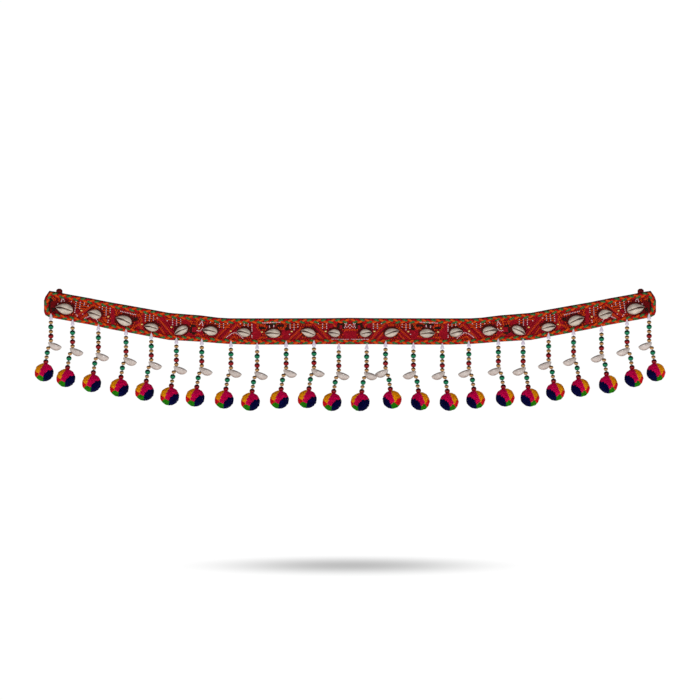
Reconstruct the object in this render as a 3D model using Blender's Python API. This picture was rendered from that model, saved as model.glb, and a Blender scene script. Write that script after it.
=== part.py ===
"""Toran, a door hanging: an embroidered band with a plaited edging, cowries and beaded wool drops.

The band hangs in the XZ plane with its front towards -Y. The origin is the middle of its top edge.
"""
import math
from collections import namedtuple

import bmesh
import bpy
from mathutils import Vector

MM = 0.001  # the sizes below are in millimetres, and the meshes in metres

# Cloth band
BAND_THICKNESS = 2.4
BAND_ROWS_ACROSS = 4
BAND_LONGEST_STEP = 17.0
SEAT_GAP = 0.3  # between a piece and what it is sewn to

# Plaited edging
PLAIT_WIDTH = 7.4
PLAIT_INSET = 0.3  # how far its edge lies inside the cloth's edge
PLAIT_TOP_INSET = 1.4  # the cloth shows as a thin dark line above the plait
PLAIT_CROSSING = 12.0  # length of one strand's raised leaf
PLAIT_EDGE_HEIGHT = 1.2
PLAIT_RIDGE_HEIGHT = 2.0
PLAIT_RIDGE_SWING = 1.3  # how far the ridge wanders to each side of the middle
PLAIT_SCALLOP = 0.5  # how far the edge draws in between two leaves

# Hanging loops, one near each end
LOOP_PLACE = 456.6
LOOP_TAPE_THICKNESS = 1.2

# Wool balls
BALL_RADIUS = 14.5
BALL_LUMP = 0.045
BALL_FACETING = 1.03  # brings the flat faces out to the ball's real size

# Glass drop at the top of each string
GLASS_RADIUS = 3.1
STRING_DEPTH = BAND_THICKNESS / 2 + SEAT_GAP + PLAIT_RIDGE_HEIGHT + SEAT_GAP + GLASS_RADIUS

# The band's outline from its left end to its middle: the place along the band, and the heights of
# the top and bottom edges there. The right half is the same the other way round.
Outline = namedtuple("Outline", "place top bottom")
OUTLINE_ROWS = (
    Outline(-480.4, 27.0, 9.5),
    Outline(-478.4, 33.0, 4.2),
    Outline(-472.0, 42.4, 0.6),
    Outline(-464.0, 41.2, -0.9),
    Outline(-442.0, 36.9, -4.9),
    Outline(-407.0, 30.6, -11.1),
    Outline(-376.0, 24.4, -18.0),
    Outline(-345.0, 19.0, -23.7),
    Outline(-313.0, 13.3, -29.7),
    Outline(-284.0, 7.8, -35.0),
    Outline(-257.0, 5.6, -36.4),
    Outline(-235.0, 3.9, -37.7),
    Outline(-207.0, 0.3, -40.0),
    Outline(-190.0, -0.7, -41.2),
    Outline(-157.0, -0.8, -42.2),
    Outline(-78.0, -0.6, -42.2),
    Outline(-38.0, -0.5, -41.5),
    Outline(0.0, 0.0, -41.9),
)

# Soft bows of the cloth: the middle of each, how far it reaches to each side, and its depth, with
# plus towards the wall.
Fold = namedtuple("Fold", "place reach depth")
FOLD_ROWS = (
    Fold(-398.0, 70.0, -1.3),
    Fold(-302.0, 62.0, 1.0),
    Fold(-208.0, 74.0, -0.9),
    Fold(-96.0, 82.0, 1.2),
    Fold(28.0, 66.0, -0.7),
    Fold(118.0, 76.0, 1.0),
    Fold(216.0, 62.0, -1.2),
    Fold(306.0, 70.0, 0.8),
    Fold(402.0, 66.0, -1.1),
)

# Cowries sewn on the left half: the shell's middle, its length and width, and the angle at which
# its broad end stands up. Each has its match on the right half.
Shell = namedtuple("Shell", "place height length width tilt")
SHELL_ROWS = (
    Shell(-448.5, 14.4, 28.0, 17.0, -12.0),
    Shell(-401.1, 6.0, 22.0, 15.0, -14.0),
    Shell(-355.3, -3.9, 26.4, 16.0, -20.0),
    Shell(-312.3, -14.6, 22.9, 12.9, -10.0),
    Shell(-265.3, -20.2, 23.0, 13.6, 28.0),
    Shell(-219.8, -20.4, 23.1, 14.6, -8.0),
    Shell(-167.0, -22.8, 21.0, 13.8, -10.0),
    Shell(-121.7, -24.4, 23.7, 14.2, 0.0),
    Shell(-65.8, -22.8, 23.4, 13.8, -15.0),
    Shell(-25.1, -24.0, 18.8, 12.6, -6.0),
)
SHELL_DOME = 0.27  # height of a flat-backed cowrie as a share of its length

# Cross-sections along a flat-backed cowrie, from its narrow end: shares of its length, half width
# and height, and the half width and depth of the toothed slit as shares of the same.
Cowrie = namedtuple("Cowrie", "along half_width height slit_width slit_depth")
COWRIE_ROWS = (
    Cowrie(0.06, 0.34, 0.55, 0.10, 0.20),
    Cowrie(0.24, 0.74, 0.88, 0.16, 0.34),
    Cowrie(0.50, 0.98, 1.00, 0.09, 0.26),
    Cowrie(0.75, 0.96, 0.97, 0.08, 0.22),
    Cowrie(0.93, 0.60, 0.66, 0.12, 0.20),
)
COWRIE_TIP_HEIGHT = 0.3

# One drop, measured from the middle of its wool ball: each bead's height, how far the string has
# swung there towards the ball's side, and the bead's radius.
Bead = namedtuple("Bead", "bead height swing radius")
BEAD_ROWS = (
    Bead("gold", 78.3, 0.0, 3.35),
    Bead("green", 71.2, 0.0, 4.0),
    Bead("gold", 63.9, 0.0, 3.35),
    Bead("red", 56.8, 0.0, 4.0),
    Bead("gold", 49.9, 0.0, 3.35),
    Bead("gold", 38.0, 4.1, 3.2),
    Bead("green", 30.8, 5.7, 4.0),
    Bead("gold", 23.7, 6.7, 3.2),
    Bead("red", 16.6, 7.8, 4.0),
)
BEAD_SHOULDER = 0.38  # where a bead's two widest rings lie, as a share of its radius
BEAD_NECK = 1.4  # radius of the string and bead ends between two beads
BALL_SWING = 10.6
STRING_END = (9.0, 9.2)  # height and swing of the string's end inside the ball

# The glass drop above the beads: heights above the middle of the ball, and radii.
Glass = namedtuple("Glass", "height radius")
GLASS_ROWS = (
    Glass(93.4, 0.8),
    Glass(89.8, 1.7),
    Glass(84.4, 3.1),
    Glass(82.2, 2.5),
)

# The cowrie that hangs on each string, from its drilled end to its tip: shares of its length, and
# how far it reaches above and below the line between its ends, and to the front and back.
PENDANT_START = (46.5, -4.4)  # height and distance from the string, towards the shell's side
PENDANT_LENGTH = 22.7
PENDANT_DROP = 19.8  # degrees
Pendant = namedtuple("Pendant", "along above below half_depth")
PENDANT_ROWS = (
    Pendant(0.05, 1.5, 2.0, 2.4),
    Pendant(0.28, 3.0, 5.6, 5.4),
    Pendant(0.54, 3.2, 7.6, 6.6),
    Pendant(0.80, 2.2, 5.8, 5.2),
    Pendant(0.96, 0.9, 2.0, 2.2),
)
PENDANT_SIDES = 6

# Strings along the band: the place of each, the height of its ball, and how far the drop has
# turned on its string. The pendant shell points to the right on the first strings.
Drop = namedtuple("Drop", "place ball_height turn")
DROPS_POINTING_RIGHT = (
    Drop(-469.3, -85.6, 0.0),
    Drop(-435.2, -94.5, 0.0),
    Drop(-394.7, -102.4, 0.0),
    Drop(-351.4, -109.6, 0.0),
    Drop(-311.8, -115.9, 0.0),
    Drop(-272.4, -123.2, 0.0),
    Drop(-232.5, -125.1, 0.0),
    Drop(-186.8, -128.3, 0.0),
    Drop(-145.7, -131.7, 0.0),
    Drop(-100.2, -128.4, 0.0),
    Drop(-56.5, -127.5, 0.0),
    Drop(-17.6, -132.0, 0.0),
    Drop(26.1, -132.2, -15.0),
)
DROPS_POINTING_LEFT = (
    Drop(55.7, -128.3, -15.0),
    Drop(99.5, -130.9, 0.0),
    Drop(144.8, -131.7, 0.0),
    Drop(186.4, -128.3, 0.0),
    Drop(232.7, -125.0, 0.0),
    Drop(271.6, -125.0, 0.0),
    Drop(311.6, -115.9, 0.0),
    Drop(350.7, -109.7, 0.0),
    Drop(394.5, -104.4, 0.0),
    Drop(434.6, -94.5, 0.0),
    Drop(469.3, -85.4, 0.0),
)

# The loop's tape, seen from the end of the band: how far each corner lies behind the cloth, its
# height above the cloth's edge, and the tape's width there.
Tape = namedtuple("Tape", "behind above width")
TAPE_ROWS = (
    Tape(0.6, -10.0, 9.4),
    Tape(0.6, 3.4, 9.0),
    Tape(1.9, 5.3, 7.2),
    Tape(4.9, 5.5, 7.2),
    Tape(6.4, 3.4, 9.0),
    Tape(6.4, -10.0, 9.4),
    Tape(4.9, -11.6, 9.4),
    Tape(1.9, -11.6, 9.4),
)

RIGHT = 1
LEFT = -1


def clear_scene():
    for item in list(bpy.data.objects):
        bpy.data.objects.remove(item, do_unlink=True)


def material(name, colour, roughness, metallic=0.0):
    made = bpy.data.materials.new(name)
    made.use_nodes = True
    shader = made.node_tree.nodes["Principled BSDF"]
    shader.inputs["Base Color"].default_value = (*colour, 1.0)
    shader.inputs["Roughness"].default_value = roughness
    shader.inputs["Metallic"].default_value = metallic
    return made


def add_object(name, mesh, finish):
    item = bpy.data.objects.new(name, mesh)
    bpy.context.scene.collection.objects.link(item)
    if not mesh.materials:
        mesh.materials.append(finish)
    return item


def between(low, high, share):
    return low + (high - low) * share


def fold(place):
    """How far the cloth bows towards the wall at a place along the band."""
    depth = 0.0
    for bow in FOLD_ROWS:
        away = abs(place - bow.place) / bow.reach
        if away < 1.0:
            depth += bow.depth * 0.5 * (1.0 + math.cos(math.pi * away))
    return depth


def fold_turn(place):
    """The angle at which the cloth faces at a place along the band."""
    step = 1.0
    return math.atan2(fold(place + step) - fold(place - step), 2.0 * step)


def outline(place):
    """The heights of the band's top and bottom edges at a place along it."""
    mirrored = -abs(place)
    for left, right in zip(OUTLINE_ROWS, OUTLINE_ROWS[1:]):
        if left.place <= mirrored <= right.place:
            share = (mirrored - left.place) / (right.place - left.place)
            return between(left.top, right.top, share), between(left.bottom, right.bottom, share)
    return OUTLINE_ROWS[0].top, OUTLINE_ROWS[0].bottom


def band_places():
    """Places along the whole band for its rows of points, close enough to follow the folds."""
    left_half = []
    for start, end in zip(OUTLINE_ROWS, OUTLINE_ROWS[1:]):
        steps = math.ceil((end.place - start.place) / BAND_LONGEST_STEP)
        left_half += [between(start.place, end.place, step / steps) for step in range(steps)]
    return left_half + [0.0] + [-place for place in reversed(left_half)]


def loft(sections, ring=False):
    """A closed mesh over cross-sections. A section of one point is a tip, and a ring joins its ends."""
    shape = bmesh.new()
    rows = [[shape.verts.new(Vector(point) * MM) for point in section] for section in sections]
    following = rows[1:] + rows[:1] if ring else rows[1:]
    for here, there in zip(rows, following):
        count = max(len(here), len(there))
        for side in range(count):
            beside = (side + 1) % count
            corners = [here[side % len(here)], here[beside % len(here)]]
            corners += [there[beside % len(there)], there[side % len(there)]]
            shape.faces.new(dict.fromkeys(corners))
    if not ring:
        for end in (rows[0], rows[-1]):
            if len(end) > 1:
                shape.faces.new(end)
    bmesh.ops.recalc_face_normals(shape, faces=shape.faces)
    return shape


def to_mesh(shape, name, smooth_angle=40.0):
    mesh = bpy.data.meshes.new(name)
    shape.to_mesh(mesh)
    shape.free()
    mesh.shade_smooth()
    mesh.set_sharp_from_angle(angle=math.radians(smooth_angle))
    return mesh


def make_band(finish):
    """The cloth: a grid over the outline, bowed by its folds, with an even thickness."""
    shape = bmesh.new()
    columns = []
    for place in band_places():
        top, bottom = outline(place)
        heights = [between(bottom, top, row / BAND_ROWS_ACROSS) for row in range(BAND_ROWS_ACROSS + 1)]
        depth = fold(place)
        columns.append([shape.verts.new(Vector((place, depth, height)) * MM) for height in heights])
    for here, there in zip(columns, columns[1:]):
        for row in range(BAND_ROWS_ACROSS):
            shape.faces.new((here[row], there[row], there[row + 1], here[row + 1]))
    band = add_object("band", to_mesh(shape, "band"), finish)
    thickness = band.modifiers.new("cloth thickness", "SOLIDIFY")
    thickness.thickness = BAND_THICKNESS * MM
    thickness.offset = 0.0


def plait_path():
    """Middle line of the edging, one place for each crossing, going round the band clockwise."""
    places = band_places()
    corners = [Vector((place, outline(place)[0])) for place in places]
    corners += [Vector((place, outline(place)[1])) for place in reversed(places)]
    inset = []
    for before, here, after in zip(corners[-1:] + corners[:-1], corners, corners[1:] + corners[:1]):
        first = (here - before).normalized()
        second = (after - here).normalized()
        inward = Vector((first.y + second.y, -first.x - second.x)).normalized()
        mitre = max(0.5, inward.dot(Vector((first.y, -first.x))))
        extra = (PLAIT_TOP_INSET - PLAIT_INSET) * max(0.0, -inward.y)
        inset.append(here + inward * (PLAIT_INSET + extra + PLAIT_WIDTH / 2) / mitre)
    ends = inset[1:] + inset[:1]
    whole = sum((end - start).length for start, end in zip(inset, ends))
    count = 2 * round(whole / PLAIT_CROSSING / 2)
    path = []
    walked = 0.0
    for start, end in zip(inset, ends):
        length = (end - start).length
        while len(path) < count and len(path) * whole / count < walked + length:
            path.append(start.lerp(end, (len(path) * whole / count - walked) / length))
        walked += length
    return path


def plait_section(here, outward, swing):
    """Across the edging: two points at the back, its two edges, and a ridge that swings about."""
    outer = PLAIT_WIDTH / 2 - (PLAIT_SCALLOP if swing < 0 else 0.0)
    inner = PLAIT_WIDTH / 2 - (PLAIT_SCALLOP if swing > 0 else 0.0)
    profile = (
        (outer, 0.0),
        (outer, PLAIT_EDGE_HEIGHT),
        (swing * PLAIT_RIDGE_SWING, PLAIT_RIDGE_HEIGHT),
        (-inner, PLAIT_EDGE_HEIGHT),
        (-inner, 0.0),
    )
    points = []
    for across, height in profile:
        spot = here + outward * across
        front = fold(spot.x) - BAND_THICKNESS / 2 - SEAT_GAP - height
        points.append((spot.x, front, spot.y))
    return points


def make_plait(finish):
    path = plait_path()
    sections = []
    for index, here in enumerate(path):
        along = (path[(index + 1) % len(path)] - path[index - 1]).normalized()
        outward = Vector((-along.y, along.x))
        sections.append(plait_section(here, outward, 1 if index % 2 else -1))
    add_object("braid", to_mesh(loft(sections, ring=True), "braid", 20.0), finish)


def make_loop(name, place, finish):
    """A tape sewn behind the band, which stands up over the edge and opens between its two legs."""
    edge = outline(place)[0]
    cloth_back = fold(place) + BAND_THICKNESS / 2 + SEAT_GAP
    line = [Vector((cloth_back + corner.behind, edge + corner.above)) for corner in TAPE_ROWS]
    sections = []
    for index, here in enumerate(line):
        along = (line[(index + 1) % len(line)] - line[index - 1]).normalized()
        out = Vector((-along.y, along.x)) * LOOP_TAPE_THICKNESS / 2
        half = TAPE_ROWS[index].width / 2
        corners = ((half, 1), (half, -1), (-half, -1), (-half, 1))
        sections.append([(place + x, here.x + out.x * side, here.y + out.y * side) for x, side in corners])
    add_object(name, to_mesh(loft(sections, ring=True), name, 60.0), finish)


def cowrie_mesh(name, length, width, side):
    """A flat-backed cowrie with its slit to the front and its narrow end away from the given side."""
    height = SHELL_DOME * length
    sections = [[(-side * length / 2, -COWRIE_TIP_HEIGHT * height, 0.0)]]
    for row in COWRIE_ROWS:
        reach = row.half_width * width / 2
        lip = row.slit_width * width
        top = row.height * height
        profile = (
            (-0.8 * reach, 0.0),
            (-reach, 0.42 * top),
            (-lip, top),
            (0.0, top * (1.0 - row.slit_depth)),
            (lip, top),
            (reach, 0.42 * top),
            (0.8 * reach, 0.0),
        )
        spot = side * (row.along - 0.5) * length
        sections.append([(spot, -out, across) for across, out in profile])
    sections.append([(side * length / 2, -COWRIE_TIP_HEIGHT * height, 0.0)])
    return to_mesh(loft(sections), name, 50.0)


def make_shells(finish):
    number = 0
    for side, rows in ((RIGHT, SHELL_ROWS), (LEFT, reversed(SHELL_ROWS))):
        for row in rows:
            number += 1
            name = f"shell_{number:02d}"
            shell = add_object(name, cowrie_mesh(name, row.length, row.width, side), finish)
            spot = side * row.place
            front = fold(spot) - BAND_THICKNESS / 2 - SEAT_GAP
            shell.location = Vector((spot, front, row.height)) * MM
            shell.rotation_euler = (0.0, -side * math.radians(row.tilt), fold_turn(spot))


def string_mesh(side):
    """Glass drop, beads and string as one four-sided turning, with its corners to the front and sides."""
    rings = [(row.height, 0.0, row.radius, GLASS_RADIUS - row.radius) for row in GLASS_ROWS]
    upper = (GLASS_ROWS[-1].height, 0.0)
    for bead in BEAD_ROWS:
        neck = (between(upper[0], bead.height + bead.radius, 0.5), between(upper[1], bead.swing, 0.5))
        rings.append((*neck, BEAD_NECK, 0.0))
        rings.append((bead.height + BEAD_SHOULDER * bead.radius, bead.swing, bead.radius, 0.0))
        rings.append((bead.height - BEAD_SHOULDER * bead.radius, bead.swing, bead.radius, 0.0))
        upper = (bead.height - bead.radius, bead.swing)
    rings.append((*STRING_END, BEAD_NECK, 0.0))
    sections = []
    for height, swing, radius, back in rings:
        middle = -side * swing
        sections.append([
            (middle + radius, back, height),
            (middle, back - radius, height),
            (middle - radius, back, height),
            (middle, back + radius, height),
        ])
    return to_mesh(loft(sections), "string")


def pendant_mesh(side):
    """The whole cowrie that hangs by its drilled end on the string."""
    drop = math.radians(PENDANT_DROP)
    start = Vector((PENDANT_START[1], 0.0, PENDANT_START[0]))
    forward = Vector((math.cos(drop), 0.0, -math.sin(drop)))
    upward = Vector((math.sin(drop), 0.0, math.cos(drop)))
    sections = [[start]]
    for row in PENDANT_ROWS:
        section = []
        for corner in range(PENDANT_SIDES):
            angle = math.radians(90.0) + math.tau * corner / PENDANT_SIDES
            rise = math.sin(angle) * (row.above if math.sin(angle) > 0.0 else row.below)
            point = start + forward * row.along * PENDANT_LENGTH + upward * rise
            point.y = math.cos(angle) * row.half_depth
            section.append(point)
        sections.append(section)
    sections.append([start + forward * PENDANT_LENGTH])
    for section in sections:
        for point in section:
            point.x *= side
    return to_mesh(loft(sections), "pendant")


def ball_mesh(side):
    """A clipped wool ball with an uneven, lumpy surface."""
    shape = bmesh.new()
    bmesh.ops.create_icosphere(shape, subdivisions=2, radius=BALL_RADIUS * BALL_FACETING * MM)
    for point in shape.verts:
        way = point.co.normalized()
        lump = math.sin(5.0 * way.x + 2.0 * way.z) * math.cos(6.0 * way.y - 3.0 * way.z)
        point.co *= 1.0 + BALL_LUMP * lump
        point.co.x -= side * BALL_SWING * MM
    return to_mesh(shape, "ball", 60.0)


def drop_mesh(name, side, finish):
    """One drop as a single solid: the string with its beads, joined to its shell and its ball."""
    string = add_object(name, string_mesh(side), finish)
    parts = [add_object("guide", mesh, finish) for mesh in (pendant_mesh(side), ball_mesh(side))]
    for part in parts:
        join = string.modifiers.new("join", "BOOLEAN")
        join.operation = "UNION"
        join.solver = "EXACT"
        join.object = part
    bpy.context.view_layer.update()
    seen = string.evaluated_get(bpy.context.evaluated_depsgraph_get())
    mesh = bpy.data.meshes.new_from_object(seen)
    mesh.name = name
    for item in (string, *parts):
        bpy.data.objects.remove(item, do_unlink=True)
    mesh.shade_smooth()
    mesh.set_sharp_from_angle(angle=math.radians(60.0))
    return mesh


def make_drops(finish):
    number = 0
    for side, rows in ((RIGHT, DROPS_POINTING_RIGHT), (LEFT, DROPS_POINTING_LEFT)):
        mesh = drop_mesh("drop pointing right" if side == RIGHT else "drop pointing left", side, finish)
        for row in rows:
            number += 1
            drop = add_object(f"drop_{number:02d}", mesh, finish)
            drop.location = Vector((row.place, fold(row.place) - STRING_DEPTH, row.ball_height)) * MM
            drop.rotation_euler.z = math.radians(row.turn)


def main():
    clear_scene()
    make_band(material("red embroidered cotton", (0.24, 0.008, 0.016), 0.9))
    make_plait(material("plaited cord", (0.55, 0.05, 0.01), 0.75))
    maroon = material("maroon tape", (0.09, 0.003, 0.006), 0.85)
    make_loop("loop_left", -LOOP_PLACE, maroon)
    make_loop("loop_right", LOOP_PLACE, maroon)
    make_shells(material("cowrie", (0.6, 0.55, 0.5), 0.35))
    make_drops(material("beads and wool", (0.45, 0.02, 0.1), 0.6))


main()
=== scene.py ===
# %% [markdown]
# # A toran, the beaded hanging for a doorway
# A toran is a band of embroidered cloth that hangs across the top of a door. This one has a plaited
# edging, cowries, and strings of beads that end in wool balls. The solid model gives the places, and
# this lesson makes what the eye sees.

# %% Load the frame
import random
from bisect import bisect_right
from collections import namedtuple
from itertools import accumulate
from math import asin, atan2, ceil, copysign, cos, degrees, exp, pi, radians, sin, tau

import bmesh
import bpy
from mathutils import Matrix, Vector


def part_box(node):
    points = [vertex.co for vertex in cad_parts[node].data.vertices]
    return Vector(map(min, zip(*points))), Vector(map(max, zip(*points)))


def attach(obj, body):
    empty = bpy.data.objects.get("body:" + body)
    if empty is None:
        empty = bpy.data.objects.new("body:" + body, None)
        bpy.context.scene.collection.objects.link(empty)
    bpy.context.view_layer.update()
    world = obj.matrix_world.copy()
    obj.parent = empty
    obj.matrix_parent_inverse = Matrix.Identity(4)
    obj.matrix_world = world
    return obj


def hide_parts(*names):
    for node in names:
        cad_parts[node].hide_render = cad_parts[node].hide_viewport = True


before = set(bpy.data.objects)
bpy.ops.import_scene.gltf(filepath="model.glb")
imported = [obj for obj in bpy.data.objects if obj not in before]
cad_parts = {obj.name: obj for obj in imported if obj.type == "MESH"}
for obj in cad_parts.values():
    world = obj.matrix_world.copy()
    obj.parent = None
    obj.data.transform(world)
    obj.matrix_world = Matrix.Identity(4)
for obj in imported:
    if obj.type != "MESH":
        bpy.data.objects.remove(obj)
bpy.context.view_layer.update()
MM = 0.001  # the sizes below are in millimetres, and the meshes in metres
LEFT, RIGHT = -1, 1
scene = bpy.context.scene
chance = random.Random(11)
print("nodes in the frame:", len(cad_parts))

# %% [markdown]
# ## The shape of the cloth
# The outline is a table of places along the left half, with the heights of the top and the bottom edge
# at each. Straight lines between them do.

# %% The band's outline
def table(columns, *rows):
    """Rows whose columns have names."""
    row_kind = namedtuple("Row", columns)
    return [row_kind(*row) for row in rows]


CLOTH_THICKNESS = 2.4
SEAT_GAP = 0.3  # between a sewn piece and the cloth
OUTLINE_ROWS = table(
    "place top bottom",
    (-480.4, 27, 9.5), (-478.4, 33, 4.2), (-472, 42.4, 0.6), (-464, 41.2, -0.9), (-442, 36.9, -4.9),
    (-407, 30.6, -11.1), (-376, 24.4, -18), (-345, 19, -23.7), (-313, 13.3, -29.7), (-284, 7.8, -35),
    (-257, 5.6, -36.4), (-235, 3.9, -37.7), (-207, 0.3, -40), (-190, -0.7, -41.2), (-157, -0.8, -42.2),
    (-78, -0.6, -42.2), (-38, -0.5, -41.5), (0, 0, -41.9),
)


def between(low, high, share):
    return low + (high - low) * share


def outline(place):
    """The heights of the band's top and bottom edges at a place along it."""
    mirrored = -abs(place)
    for left, right in zip(OUTLINE_ROWS, OUTLINE_ROWS[1:]):
        if left.place <= mirrored <= right.place:
            share = (mirrored - left.place) / (right.place - left.place)
            return between(left.top, right.top, share), between(left.bottom, right.bottom, share)
    return OUTLINE_ROWS[0].top, OUTLINE_ROWS[0].bottom


print("band height, mm:", round(outline(0)[0] - outline(0)[1], 1))

# %% [markdown]
# ## Folds and puckers
# The long bows come from the way the cloth hangs, and the small puckers from the stitches. Every bead
# and stitch can ask here where the cloth is.

# %% How far the cloth bows
FOLD_ROWS = table(
    "place reach depth",
    (-398, 70, -1.3), (-302, 62, 1), (-208, 74, -0.9), (-96, 82, 1.2), (28, 66, -0.7), (118, 76, 1),
    (216, 62, -1.2), (306, 70, 0.8), (402, 66, -1.1),
)
PUCKER = 0.12


def fold(place):
    """How far the middle of the cloth bows towards the wall."""
    depth = 0
    for bow in FOLD_ROWS:
        away = abs(place - bow.place) / bow.reach
        if away < 1:
            depth += bow.depth * 0.5 * (1 + cos(pi * away))
    return depth


def cloth_middle(place, height):
    along = sin(place / 4.7 + 0.8 * sin(height / 6))
    across = sin(height / 5.3 + place / 31)
    return fold(place) + PUCKER * along * across


def cloth_front(place, height):
    return cloth_middle(place, height) - CLOTH_THICKNESS / 2


def fold_turn(place):
    """The angle at which the cloth faces at a place along the band."""
    return atan2(fold(place + 1) - fold(place - 1), 2)


print("bow of the cloth in the middle, mm:", round(fold(0), 2))

# %% [markdown]
# ## Shaping a grid
# Cloth, cords, tapes and even shells are a sheet of squares, laid on a surface or rolled up. So one
# helper makes a grid and moves its corners to the spots that a function gives.

# %% One helper for every laid or rolled shape
def steps(low, high, count):
    return [between(low, high, step / count) for step in range(count + 1)]


def face_outward(shape):
    bmesh.ops.recalc_face_normals(shape, faces=shape.faces)


def lay_grid(alongs, arounds, spot, shade=None):
    """A grid whose corners go where spot() says, with what shade() says kept on them."""
    shape = bmesh.new()
    bmesh.ops.create_grid(shape, x_segments=len(alongs) - 1, y_segments=len(arounds) - 1, size=1)
    run = shape.loops.layers.uv.new("run")
    tone = shape.verts.layers.float.new("tone")
    keys = {}
    for corner in shape.verts:
        column = round((corner.co.x + 1) / 2 * (len(alongs) - 1))
        row = round((corner.co.y + 1) / 2 * (len(arounds) - 1))
        keys[corner] = (column, row)
    for face in shape.faces:
        for loop in face.loops:
            column, row = keys[loop.vert]
            loop[run].uv = (alongs[column] / 100, row / (len(arounds) - 1))
    for corner, (column, row) in keys.items():
        corner.co = Vector(spot(alongs[column], arounds[row])) * MM
        corner[tone] = shade(alongs[column], arounds[row]) if shade else 0
    bmesh.ops.remove_doubles(shape, verts=shape.verts, dist=0.002 * MM)
    face_outward(shape)
    return shape


def as_pattern(shape, name="pattern"):
    """A mesh to copy many times, or to show, made from a shape."""
    mesh = bpy.data.meshes.new(name)
    shape.to_mesh(mesh)
    shape.free()
    return mesh


def add_copy(whole, pattern, place, finish=None):
    """Adds the pattern to a shape at a place, in the finish with that number."""
    copy = pattern.copy()
    copy.transform(place)
    if finish is not None:
        copy.polygons.foreach_set("material_index", [finish] * len(copy.polygons))
    whole.from_mesh(copy)
    bpy.data.meshes.remove(copy)


def copies(pattern, places):
    """One shape with the pattern at each of the places."""
    whole = bmesh.new()
    for place in places:
        add_copy(whole, pattern, place)
    return whole


def at(x, y, z, turn=0, size=(1, 1, 1)):
    """A place in millimetres, turned about the line of sight."""
    place = Matrix.Translation(Vector((x, y, z)) * MM)
    return place @ Matrix.Rotation(-turn, 4, "Y") @ Matrix.Diagonal((*size, 1))


def as_object(name, shape, finishes):
    mesh = as_pattern(shape, name)
    for finish in finishes:
        mesh.materials.append(finish)
    made = bpy.data.objects.new(name, mesh)
    scene.collection.objects.link(made)
    return made


def finish_piece(name, shape, finishes, nodes, sharp=None):
    """Makes a shape a piece of the hanging, in place of the CAD nodes named."""
    piece = as_object(name, shape, finishes)
    piece.data.shade_smooth()
    if sharp:
        piece.data.set_sharp_from_angle(angle=radians(sharp))
    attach(piece, "root")
    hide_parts(*nodes)
    return piece


def face_the_other_way(shape):
    """Swaps left and right."""
    shape.transform(Matrix.Scale(-1, 4, (1, 0, 0)))
    face_outward(shape)


def eased(value, power):
    return copysign(abs(value) ** power, value)


def middle_of(values):
    values = list(values)
    return (min(values) + max(values)) / 2


def faces_of(*made):
    return sum(len(piece.data.polygons) for piece in made)


print("helpers ready")

# %% [markdown]
# ## Shader maths
# A class wraps a socket and knows plus, minus and times, so an expression such as `1 - mask` adds its
# own Math nodes. Colours go through a Mix node.

# %% A socket that can be added and multiplied
DRY = 0.12  # how much thread and wool shine, where 0.5 is a smooth surface


def maths(operation, turned=False):
    """A method that adds one Math node."""

    def method(wire, *others):
        values = (*others, wire) if turned else (wire, *others)
        return wire.finish.node("Math", {"operation": operation}, dict(enumerate(values)))

    return method


class Wire:
    """One output of a node. Operators add Math nodes behind it."""

    def __init__(self, finish, socket):
        self.finish = finish
        self.socket = socket

    __add__ = __radd__ = maths("ADD")
    __mul__ = __rmul__ = maths("MULTIPLY")
    __sub__ = maths("SUBTRACT")
    __rsub__ = maths("SUBTRACT", turned=True)
    wave = maths("SINE")
    at_least = maths("MAXIMUM")
    power = maths("POWER")

    def steps(self, low, high):
        """0 below low, 1 above high, and a soft step between."""
        ends = {"Value": self, "From Min": low, "From Max": high}
        return self.finish.node("MapRange", {"interpolation_type": "SMOOTHSTEP"}, ends)


class Finish:
    """A material that is being mixed."""

    def __init__(self, name):
        self.material = bpy.data.materials.new(name)
        self.material.use_nodes = True
        self.tree = self.material.node_tree
        self.shader = self.tree.nodes["Principled BSDF"]

    def put(self, socket, value):
        """Joins a wire to a socket, or sets it to a number or to a colour as seen on a screen."""
        if isinstance(value, Wire):
            self.tree.links.new(value.socket, socket)
        else:
            socket.default_value = (*from_screen(*value), 1) if isinstance(value, tuple) else value

    def node(self, kind, settings=None, values=None, output=0):
        made = self.tree.nodes.new("ShaderNode" + kind)
        for name, value in (settings or {}).items():
            setattr(made, name, value)
        for name, value in (values or {}).items():
            self.put(made.inputs[name], value)
        return Wire(self, made.outputs[output])

    def spot(self):
        return self.node("TexCoord", output="Object")

    def axis(self, letter, of=None):
        return self.node("SeparateXYZ", values={0: of or self.spot()}, output=letter)

    def noise(self, scale, detail=2):
        values = {"Vector": self.spot(), "Scale": scale, "Detail": detail}
        return self.node("TexNoise", values=values, output="Fac")

    def blend(self, mask, under, over):
        return self.node("Mix", {"data_type": "RGBA"}, {0: mask, 6: under, 7: over}, output=2)

    def relief(self, height, distance, strength):
        values = {"Height": height, "Distance": distance * MM, "Strength": strength}
        return self.node("Bump", values=values)

    def kept_tone(self, low, high):
        return self.node("Attribute", {"attribute_name": "tone"}, output="Fac").steps(low, high)

    def upward(self):
        return self.axis("Z", self.node("NewGeometry", output="Normal"))

    def done(self, colour, rough, **sockets):
        sockets = {"base_color": colour, "roughness": rough, **sockets}
        for name, value in sockets.items():
            self.put(self.shader.inputs[name.replace("_", " ").title().replace("Ior", "IOR")], value)
        return self.material

    def dull(self, colour, rough, height, shine=DRY):
        return self.done(colour, rough, normal=height, specular_ior_level=shine)


def from_screen(red, green, blue):
    """A colour as seen on a screen, 0 to 255, in the linear light that Blender uses."""

    def linear(share):
        return share / 12.92 if share <= 0.04045 else ((share + 0.055) / 1.055) ** 2.4

    return tuple(linear(value / 255) for value in (red, green, blue))


print("half grey in linear light:", round(from_screen(128, 128, 128)[0], 3))

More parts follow.
